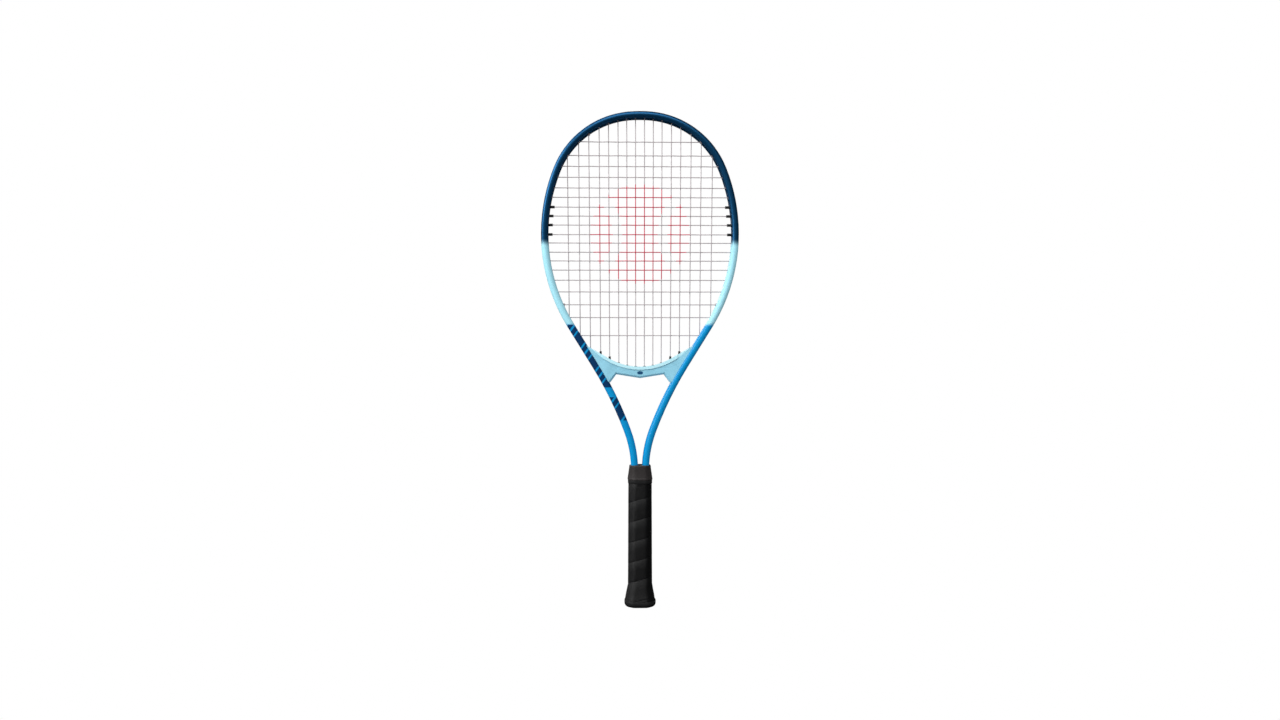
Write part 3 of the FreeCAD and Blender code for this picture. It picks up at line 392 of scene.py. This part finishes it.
def string_finish(colours, sizes):
    """Natural string with a round red stencil that two curved seams divide."""
    values = {"Coat Weight": 0.3, "Coat Roughness": 0.15, "Specular IOR Level": 0.5}
    material, tree, shader = start_finish("natural_string", values)
    place, x, _, z = object_place(tree)
    up = maths(tree, "SUBTRACT", z, sizes.stencil_height)
    up_squared = maths(tree, "MULTIPLY", up, up)

    def distance_from(centre_x):
        across = maths(tree, "SUBTRACT", x, centre_x)
        return maths(tree, "SQRT", maths(tree, "ADD", maths(tree, "MULTIPLY", across, across), up_squared))

    soft = 0.0006
    disc = fade(tree, distance_from(0.0), sizes.stencil_radius + soft, sizes.stencil_radius - soft)
    seams = []
    for side in (-1, 1):
        off_seam = maths(tree, "ABSOLUTE", maths(tree, "SUBTRACT",
                                                 distance_from(side * SEAM_OFFSET * sizes.stencil_radius),
                                                 sizes.stencil_radius))
        seams.append(fade(tree, off_seam, SEAM_HALF_WIDTH - 0.0004, SEAM_HALF_WIDTH + 0.0004))
    ragged = add_node(tree, "TexNoise", {"Vector": place, "Scale": 900.0, "Detail": 2.0})
    ink = all_of(tree, disc, *seams, fade(tree, ragged.outputs[0], 0.16, 0.30))
    mottle = place_group(tree, "Slow mottle", {"Place": place, "Scale": 60.0})
    twist = add_node(tree, "TexNoise", {"Vector": place, "Scale": 1500.0, "Detail": 2.0})
    base = blend_colour(tree, mottle["Shade"], tuple(c * 0.85 for c in colours.string), colours.string)
    base = blend_colour(tree, ink, base, colours.stencil)
    tree.links.new(base, shader.inputs["Base Color"])
    rough = maths(tree, "ADD", maths(tree, "MULTIPLY", twist.outputs[0], 0.2), 0.30)
    tree.links.new(rough, shader.inputs["Roughness"])
    join_bump(tree, shader, twist.outputs[0], 0.15, 0.0002)
    return material


def grip_finish(colours):
    """Coated grip tape: pebbled, soft and slightly worn in scattered patches."""
    values = {"Sheen Weight": 0.04, "Sheen Roughness": 0.4, "Specular IOR Level": 0.42}
    material, tree, shader = start_finish("grip_tape", values)
    place = object_place(tree)[0]
    mottle = place_group(tree, "Slow mottle", {"Place": place, "Scale": 55.0})
    grain = place_group(tree, "Moulded grain", {"Place": place, "Scale": 1500.0, "Pebble": 1.1})
    scuffs = place_group(tree, "Handling marks", {"Place": place, "Scale": 50.0, "Share": 0.35})
    paler = tuple(c * 1.9 for c in colours.grip)
    base = blend_colour(tree, mottle["Shade"], tuple(c * 0.75 for c in colours.grip), colours.grip)
    base = blend_colour(tree, maths(tree, "MULTIPLY", grain["Tone"], 0.5), base, paler)
    base = blend_colour(tree, maths(tree, "MULTIPLY", scuffs["Mask"], 0.35), base, paler)
    tree.links.new(base, shader.inputs["Base Color"])
    rough = maths(tree, "SUBTRACT", 0.56, maths(tree, "MULTIPLY", mottle["Shade"], 0.10))
    tree.links.new(rough, shader.inputs["Roughness"])
    join_bump(tree, shader, grain["Height"], 0.45, 0.0005)
    return material


def steel_finish():
    """Plated steel wire and screws, with drawn lines, made at its first use."""
    if "plated_steel" in bpy.data.materials:
        return bpy.data.materials["plated_steel"]
    material, tree, shader = start_finish("plated_steel", {"Metallic": 1.0})
    place = object_place(tree)[0]
    drawn = add_node(tree, "Mapping", {"Vector": place, "Scale": (1.0, 12.0, 1.0)})
    lines = add_node(tree, "TexNoise", {"Vector": drawn.outputs[0], "Scale": 900.0, "Detail": 3.0})
    base = blend_colour(tree, lines.outputs[0], paint(150, 150, 152), paint(205, 205, 208))
    tree.links.new(base, shader.inputs["Base Color"])
    tree.links.new(maths(tree, "ADD", maths(tree, "MULTIPLY", lines.outputs[0], 0.2), 0.22),
                   shader.inputs["Roughness"])
    join_bump(tree, shader, lines.outputs[0], 0.15, 0.0001)
    return material


# ---------------------------------------------------------------------------------------------------------
# Shapes


def handle_radius(angle, width, grow, hardness):
    """Distance from the handle's axis to its eight-sided outline, its corners rounded."""
    shares = (SIDE_SHARE, BEVEL_SHARE, FRONT_SHARE, BEVEL_SHARE)
    total = 0.0
    for facet in range(8):
        facing = math.cos(angle - facet * math.pi / 4)
        if facing > 0.0:
            total += (facing / (shares[facet % 4] * width + grow)) ** hardness
    return total ** (-1.0 / hardness)


def level_width(height):
    """Width across the pallet and cap at a height."""
    below = HANDLE_LEVELS[0]
    for level in HANDLE_LEVELS[1:]:
        if height <= level[0]:
            share = max(0.0, (height - below[0]) / (level[0] - below[0]))
            return below[1] + share * (level[1] - below[1])
        below = level
    return below[1]


def set_ring(verts, height, width, grow, hardness):
    for vert in verts:
        angle = math.atan2(vert.co.y, vert.co.x)
        radius = handle_radius(angle, width, grow, hardness)
        vert.co = Vector((radius * math.cos(angle), radius * math.sin(angle), height))


def ring_shell(rings, closed, hardness=20.0):
    """Bmesh drawn through handle outlines, each (height, width, growth).

    closed joins the last ring to the first; otherwise both ends are filled with faces.
    """
    bm = bmesh.new()
    first = bmesh.ops.create_circle(bm, cap_ends=False, segments=RING_STEPS, radius=1.0)["verts"]
    set_ring(first, *rings[0], hardness)
    first_edges = list(bm.edges)
    edges = first_edges
    for ring in rings[1:]:
        made = bmesh.ops.extrude_edge_only(bm, edges=edges)["geom"]
        verts = [g for g in made if isinstance(g, bmesh.types.BMVert)]
        edges = [g for g in made if isinstance(g, bmesh.types.BMEdge)]
        loop_edges = [e for e in edges if all(v in verts for v in e.verts)]
        set_ring(verts, *ring, hardness)
        edges = loop_edges
    if closed:
        bmesh.ops.bridge_loops(bm, edges=first_edges + edges)
    else:
        bmesh.ops.contextual_create(bm, geom=first_edges)
        bmesh.ops.contextual_create(bm, geom=edges)
    bmesh.ops.recalc_face_normals(bm, faces=bm.faces)
    return bm


def finish_piece(bm, name, node, material, sharp_angle):
    """Object from a bmesh: shaded, dressed, riding on the frame in place of a frame node."""
    mesh = bpy.data.meshes.new(name)
    bm.to_mesh(mesh)
    bm.free()
    piece = bpy.data.objects.new(name, mesh)
    bpy.context.scene.collection.objects.link(piece)
    for polygon in mesh.polygons:
        polygon.use_smooth = True
    mesh.set_sharp_from_angle(angle=math.radians(sharp_angle))
    mesh.materials.append(material)
    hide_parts(node)
    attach(piece, "root")
    return piece


def dress(material, *names):
    """Gives frame nodes that keep their own shape a finish."""
    for name in names:
        mesh = NODES[name].data
        for index in range(len(NODES[name].material_slots)):
            NODES[name].material_slots[index].material = material
        if not NODES[name].material_slots:
            mesh.materials.append(material)


def softened_copy(name, node, material, width):
    """Copy of a moulded frame node, joined up and with its sharp edges rounded."""
    bm = bmesh.new()
    bm.from_mesh(NODES[node].data)
    bmesh.ops.remove_doubles(bm, verts=bm.verts, dist=0.000002)
    bmesh.ops.dissolve_limit(bm, angle_limit=math.radians(1.0), verts=bm.verts, edges=bm.edges)
    piece = finish_piece(bm, name, node, material, 35.0)
    bevel = piece.modifiers.new("Soft edges", "BEVEL")
    bevel.width = width
    bevel.segments = 3
    bevel.limit_method = "ANGLE"
    bevel.angle_limit = math.radians(40.0)
    bevel.harden_normals = True
    return piece


# ---------------------------------------------------------------------------------------------------------
# Operators


class RACKET_OT_frame_tube(Operator):
    """Lacquer the frame tube in its three bands, with bars on one side of the throat"""

    bl_idname = "racket.frame_tube"
    bl_label = "Frame tube"

    def execute(self, context):
        scene = context.scene
        dress(painted_finish(scene.racket_colours, scene.racket_sizes), "frame_tube")
        return {"FINISHED"}


class RACKET_OT_bridge(Operator):
    """Make the moulded bridge with soft edges, and finish its pins"""

    bl_idname = "racket.bridge"
    bl_label = "Bridge"

    def execute(self, context):
        colours = context.scene.racket_colours
        softened_copy("bridge", "throat_yoke", yoke_finish(colours),
                      context.scene.racket_sizes.edge_width)
        dress(steel_finish(), "yoke_pins")
        return {"FINISHED"}


class RACKET_OT_strings(Operator):
    """Finish both strings and the knots, with the red stencil across the string bed"""

    bl_idname = "racket.strings"
    bl_label = "Strings"

    def execute(self, context):
        scene = context.scene
        dress(string_finish(scene.racket_colours, scene.racket_sizes),
              "main_string", "cross_string", "string_knots")
        return {"FINISHED"}


class RACKET_OT_grommets(Operator):
    """Finish the head guard, the grommet strips and the shock sleeves"""

    bl_idname = "racket.grommets"
    bl_label = "Guard, grommets and sleeves"

    def execute(self, context):
        black = context.scene.racket_colours.black
        dress(moulded_finish("grommet_moulding", black, paint(70, 70, 72), 0.42, 2200.0, 0.0003, marks=0.3),
              "head_guard", "grommet_strip_left", "grommet_strip_right", "lower_grommet_strip_left",
              "lower_grommet_strip_right", "bridge_grommet_strip")
        dress(moulded_finish("sleeve_rubber_black", black, paint(60, 60, 61), 0.6, 2600.0, 0.0002),
              "shock_sleeves_left", "shock_sleeves_right")
        return {"FINISHED"}


class RACKET_OT_grip(Operator):
    """Wind the grip tape up the handle, turn over turn"""

    bl_idname = "racket.grip"
    bl_label = "Wound grip"

    def execute(self, context):
        sizes = context.scene.racket_sizes
        pitch = sizes.wrap_pitch
        overlap = sizes.wrap_overlap
        thick = sizes.wrap_thickness
        low, high = (corner.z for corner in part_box("grip_wrap"))
        section = [(0.50, 0.0), (0.85, 0.0), (1.00, 0.0003), (1.03, 0.001), (1.02, overlap),
                   (1.00, pitch / 2), (0.97, pitch - 0.0006), (0.66, pitch + 0.0002),
                   (0.40, pitch + overlap), (0.0, pitch + overlap), (0.0, overlap + 0.0005), (0.45, overlap)]
        start = sizes.wrap_seam - TURNS_BELOW_SEAM * pitch
        turns = (high - start) / pitch + SPARE_TURN
        steps = int(turns * RING_STEPS)
        bm = bmesh.new()
        verts = [bm.verts.new((1.0 + share * thick, 0.0, start + rise)) for share, rise in section]
        edges = [bm.edges.new((verts[i - 1], verts[i])) for i in range(len(verts))]
        bmesh.ops.spin(bm, geom=verts + edges, cent=(0, 0, 0), axis=(0, 0, 1), angle=turns * math.tau,
                       steps=steps, dvec=(0, 0, turns * pitch / steps), use_merge=False)
        for vert in bm.verts:
            angle = math.atan2(vert.co.y, vert.co.x)
            depth = math.hypot(vert.co.x, vert.co.y) - 1.0
            radius = handle_radius(angle, level_width(vert.co.z), depth, GRIP_HARDNESS)
            vert.co.x = radius * math.cos(angle)
            vert.co.y = radius * math.sin(angle)
        for height, above in ((low, False), (high, True)):
            bmesh.ops.bisect_plane(bm, geom=bm.verts[:] + bm.edges[:] + bm.faces[:], dist=0.0000005,
                                   plane_co=(0, 0, height), plane_no=(0, 0, 1), clear_outer=above,
                                   clear_inner=not above)
        bmesh.ops.holes_fill(bm, edges=[e for e in bm.edges if e.is_boundary], sides=0)
        bmesh.ops.triangulate(bm, faces=[f for f in bm.faces if len(f.verts) > 4])
        bmesh.ops.recalc_face_normals(bm, faces=bm.faces)
        material = grip_finish(context.scene.racket_colours)
        finish_piece(bm, "wound_grip", "grip_wrap", material, 60.0)
        return {"FINISHED"}


class RACKET_OT_collar(Operator):
    """Make the finishing tape at the grip's end and the rubber collar over it"""

    bl_idname = "racket.collar"
    bl_label = "Tape and collar"

    def execute(self, context):
        colours = context.scene.racket_colours
        top, tip = HANDLE_LEVELS[-2][1], HANDLE_LEVELS[-1][1]
        tape = [(0.1726, 0.02983, 0.00167), (0.1725, 0.02983, 0.00185), (0.1727, 0.02983, 0.00199),
                (0.1750, 0.02981, 0.00203), (0.1771, top, 0.00198), (0.1850, tip, 0.00073),
                (0.1851, tip, 0.00060), (0.1850, tip, 0.00042), (0.1771, top, 0.00167)]
        bm = ring_shell(tape, True)
        material = moulded_finish("finishing_tape_satin", colours.black, paint(60, 60, 60), 0.35, 1200.0,
                                  0.0002)
        finish_piece(bm, "grip_end_tape", "finishing_tape", material, 50.0)
        bottom, rise = (corner.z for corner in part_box("grip_collar"))
        collar = [(bottom, top, 0.00212), (bottom, top, 0.00235), (bottom + 0.0002, top, 0.0025),
                  (bottom + 0.0010, top, 0.00252), (bottom + 0.0020, top, 0.00246),
                  (bottom + 0.0023, top, 0.00226), (bottom + 0.0030, top, 0.00222),
                  (rise - 0.0030, 0.0296, 0.00030), (rise - 0.0026, 0.0296, 0.00040),
                  (rise - 0.0008, 0.0296, 0.00004), (rise - 0.0002, 0.0296, -0.00028),
                  (rise, 0.0296, -0.00090), (rise, 0.0185, 0.0), (rise - 0.0005, 0.0180, 0.0),
                  (0.1873, 0.0180, 0.0), (0.1873, tip, 0.0007), (0.1850, tip, 0.00085),
                  (0.1771, top, 0.00205)]
        bm = ring_shell(collar, True)
        material = moulded_finish("collar_rubber_black", colours.collar, paint(92, 86, 84), 0.5, 1600.0,
                                  0.0003)
        finish_piece(bm, "rubber_collar", "grip_collar", material, 40.0)
        return {"FINISHED"}


class RACKET_OT_end_cap(Operator):
    """Make the flared end cap and its badge, and finish the staples, tack and screws"""

    bl_idname = "racket.end_cap"
    bl_label = "End cap"

    def execute(self, context):
        colours = context.scene.racket_colours
        edge, lip_width, lip_top = 0.0065, 0.0438, 0.009
        rings = [(0.0017, 0.02224, 0.0), (0.0003, 0.02224, 0.0), (0.0, 0.02224, 0.0003),
                 (0.0, lip_width, -edge)]
        for step in range(1, 9):
            turn = step * math.pi / 16
            rings.append((edge * (1 - math.cos(turn)), lip_width, edge * (math.sin(turn) - 1)))
        rings += [(lip_top - 0.0005, lip_width, 0.0), (lip_top - 0.0001, lip_width, -0.0002),
                  (lip_top, lip_width, -0.0006), (lip_top, 0.0405, -0.0001)]
        rings += [(height, width, -0.0001) for height, width in HANDLE_LEVELS[1:6]]
        rings += [(0.038, 0.0308, -0.0012), (0.0035, 0.0308, -0.0012)]
        bm = ring_shell(rings, False)
        cap = moulded_finish("cap_moulding", colours.black, paint(60, 60, 61), 0.45, 1900.0, 0.0003,
                             marks=0.4)
        finish_piece(bm, "end_cap", "butt_cap", cap, 40.0)
        badge = [(0.0017, 0.022, 0.0), (0.0005, 0.022, 0.0), (0.0003, 0.022, -0.0003), (0.0003, 0.0190, 0.0),
                 (0.0006, 0.0184, 0.0), (0.0006, 0.0110, 0.0), (0.0003, 0.0104, 0.0)]
        bm = ring_shell(badge, False)
        material = moulded_finish("badge_moulding", paint(60, 62, 64), paint(150, 152, 155), 0.3, 2000.0,
                                  0.0002)
        finish_piece(bm, "end_badge", "butt_badge", material, 40.0)
        dress(steel_finish(), "cap_staples", "grip_tack", "pallet_screws")
        return {"FINISHED"}


class RACKET_OT_handle_core(Operator):
    """Finish the moulded pallet halves and the spacer inside the handle"""

    bl_idname = "racket.handle_core"
    bl_label = "Handle core"

    def execute(self, context):
        dress(moulded_finish("pallet_moulding", paint(58, 58, 60), paint(96, 96, 98), 0.55, 1500.0, 0.0004),
              "pallet_front", "pallet_rear", "shaft_spacer")
        return {"FINISHED"}


class RACKET_OT_studio(Operator):
    """Set up the pale floor, the soft studio light and the camera"""

    bl_idname = "racket.studio"
    bl_label = "Studio"

    def execute(self, context):
        scene = context.scene
        low, high = CAD_BOX
        middle = Vector((0.0, 0.0, (low.z + high.z) / 2))
        bm = bmesh.new()
        bmesh.ops.create_grid(bm, x_segments=1, y_segments=1, size=FLOOR_HALF_SIZE)
        bmesh.ops.translate(bm, verts=bm.verts, vec=(0, 0, low.z - FLOOR_GAP))
        mesh = bpy.data.meshes.new("floor")
        bm.to_mesh(mesh)
        bm.free()
        floor = bpy.data.objects.new("floor", mesh)
        scene.collection.objects.link(floor)
        mesh.materials.append(self.floor_finish())
        floor.visible_glossy = False
        for name, place, size, power in LIGHTS:
            self.area_light(name, place, middle, size, power)
        scene.world = bpy.data.worlds.new("studio")
        scene.world.use_nodes = True
        tree = scene.world.node_tree
        background = tree.nodes["Background"]
        seen = add_node(tree, "LightPath").outputs["Is Camera Ray"]
        tree.links.new(blend_colour(tree, seen, SURROUND, (1.0, 1.0, 1.0)),
                       background.inputs["Color"])
        scene.world.cycles_visibility.glossy = False
        scene.view_settings.view_transform = "Standard"
        camera = bpy.data.cameras.new("camera")
        camera.lens = CAMERA_LENS
        camera.sensor_width = 36.0
        camera.clip_start = 0.02
        holder = bpy.data.objects.new("camera", camera)
        scene.collection.objects.link(holder)
        holder.location = CAMERA_PLACE
        aim = Vector(CAMERA_TARGET) - holder.location
        holder.rotation_euler = aim.to_track_quat("-Z", "Y").to_euler()
        scene.camera = holder
        return {"FINISHED"}

    def floor_finish(self):
        """Pale floor: even white to the camera, and a soft grey to light that bounces off it."""
        material = bpy.data.materials.new("pale_floor")
        material.use_nodes = True
        tree = material.node_tree
        tree.nodes.remove(tree.nodes["Principled BSDF"])
        matt = add_node(tree, "BsdfDiffuse", {"Color": (0.30, 0.30, 0.305, 1.0)})
        lit = add_node(tree, "Emission", {"Color": (1.0, 1.0, 1.0, 1.0), "Strength": 1.0})
        seen = add_node(tree, "LightPath").outputs["Is Camera Ray"]
        mixed = add_node(tree, "MixShader", {0: seen, 1: matt.outputs[0], 2: lit.outputs[0]})
        tree.links.new(mixed.outputs[0], tree.nodes["Material Output"].inputs["Surface"])
        return material

    def area_light(self, name, place, target, size, power):
        light = bpy.data.lights.new(name, "AREA")
        light.shape = "DISK"
        light.size = size
        light.energy = power
        holder = bpy.data.objects.new(name, light)
        bpy.context.scene.collection.objects.link(holder)
        holder.location = place
        holder.rotation_euler = (Vector(target) - Vector(place)).to_track_quat("-Z", "Y").to_euler()
        holder.visible_camera = False


class RACKET_PT_panel(Panel):
    """Lists the racket's pieces in making order"""

    bl_idname = "RACKET_PT_panel"
    bl_label = "Racket"
    bl_space_type = "VIEW_3D"
    bl_region_type = "UI"
    bl_category = "Racket"

    def draw(self, context):
        for group in (context.scene.racket_colours, context.scene.racket_sizes):
            column = self.layout.column(align=True)
            for name in group.__annotations__:
                column.prop(group, name)
        column = self.layout.column(align=True)
        for maker in MAKERS:
            column.operator(maker.bl_idname)


MAKERS = (RACKET_OT_frame_tube, RACKET_OT_bridge, RACKET_OT_strings, RACKET_OT_grommets, RACKET_OT_grip,
          RACKET_OT_collar, RACKET_OT_end_cap, RACKET_OT_handle_core, RACKET_OT_studio)
CLASSES = (RacketColours, RacketSizes) + MAKERS + (RACKET_PT_panel,)


def register():
    for cls in CLASSES:
        bpy.utils.register_class(cls)
    bpy.types.Scene.racket_colours = PointerProperty(type=RacketColours)
    bpy.types.Scene.racket_sizes = PointerProperty(type=RacketSizes)


def unregister():
    del bpy.types.Scene.racket_sizes
    del bpy.types.Scene.racket_colours
    for cls in reversed(CLASSES):
        bpy.utils.unregister_class(cls)


def main():
    register()
    bpy.ops.racket.frame_tube()
    bpy.ops.racket.bridge()
    bpy.ops.racket.strings()
    bpy.ops.racket.grommets()
    bpy.ops.racket.grip()
    bpy.ops.racket.collar()
    bpy.ops.racket.end_cap()
    bpy.ops.racket.handle_core()
    bpy.ops.racket.studio()


if __name__ == "__main__":
    main()
